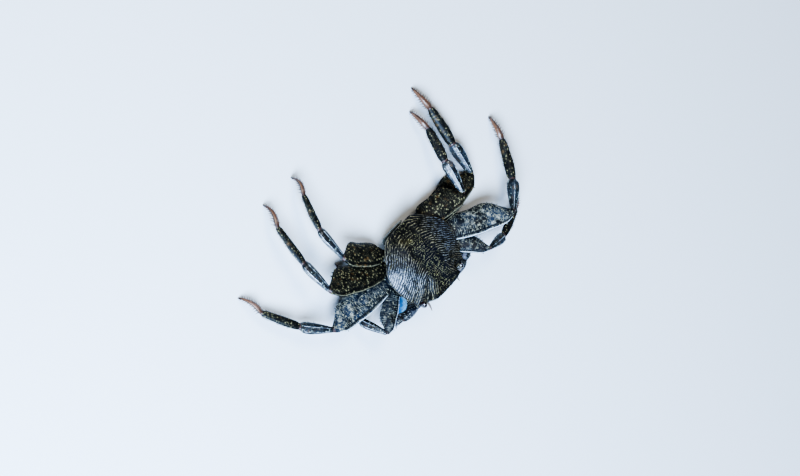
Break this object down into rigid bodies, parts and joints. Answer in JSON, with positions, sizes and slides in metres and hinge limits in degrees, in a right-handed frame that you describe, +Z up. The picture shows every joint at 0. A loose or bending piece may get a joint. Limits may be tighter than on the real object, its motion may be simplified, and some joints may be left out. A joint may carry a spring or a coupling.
{
  "type": "red rock crab",
  "caption": "Still, life-size rock crab in a low, braced stance: broad flat ridged shell, splayed flat legs and small claws.",
  "frame": {"origin": "floor level, under the middle of the crab's bounding box", "axes": "+Z up; the crab faces -Y and its left side is +X"},
  "size_m": [0.2122, 0.1234, 0.0244],
  "materials": {
    "shell": "wet, near-black green shell with fine pale lines and dots",
    "limb": "near-black leg shell with pale yellow-green speckles",
    "claw": "smooth dark claw with pale tips",
    "underside": "smooth pale underside",
    "toe": "reddish brown toes with dark spines",
    "eye": "wet dark eye",
    "eyestalk": "mottled stalk",
    "feeler": "brown feeler"
  },
  "bodies": {
    "root": {"abdomen": "underside", "antenna_left": "feeler", "antenna_right": "feeler", "antennule_left": "feeler", "antennule_right": "feeler", "carapace": "shell", "claw_left_arm": "limb", "claw_left_finger": "claw", "claw_left_palm": "claw", "claw_left_wrist": "claw", "claw_right_arm": "limb", "claw_right_finger": "claw", "claw_right_palm": "claw", "claw_right_wrist": "claw", "eye_left": "eye", "eye_right": "eye", "eyestalk_left": "eyestalk", "eyestalk_right": "eyestalk", "leg_left_2_arm": "limb", "leg_left_2_hand": "limb", "leg_left_2_toe": "toe", "leg_left_2_wrist": "limb", "leg_left_3_arm": "limb", "leg_left_3_hand": "limb", "leg_left_3_toe": "toe", "leg_left_3_wrist": "limb", "leg_left_4_arm": "limb", "leg_left_4_hand": "limb", "leg_left_4_toe": "toe", "leg_left_4_wrist": "limb", "leg_left_5_arm": "limb", "leg_left_5_hand": "limb", "leg_left_5_toe": "toe", "leg_left_5_wrist": "limb", "leg_right_2_arm": "limb", "leg_right_2_hand": "limb", "leg_right_2_toe": "toe", "leg_right_2_wrist": "limb", "leg_right_3_arm": "limb", "leg_right_3_hand": "limb", "leg_right_3_toe": "toe", "leg_right_3_wrist": "limb", "leg_right_4_arm": "limb", "leg_right_4_hand": "limb", "leg_right_4_toe": "toe", "leg_right_4_wrist": "limb", "leg_right_5_arm": "limb", "leg_right_5_hand": "limb", "leg_right_5_toe": "toe", "leg_right_5_wrist": "limb", "mouthpart_left": "underside", "mouthpart_right": "underside", "thorax": "underside"}
  },
  "joints": []
}
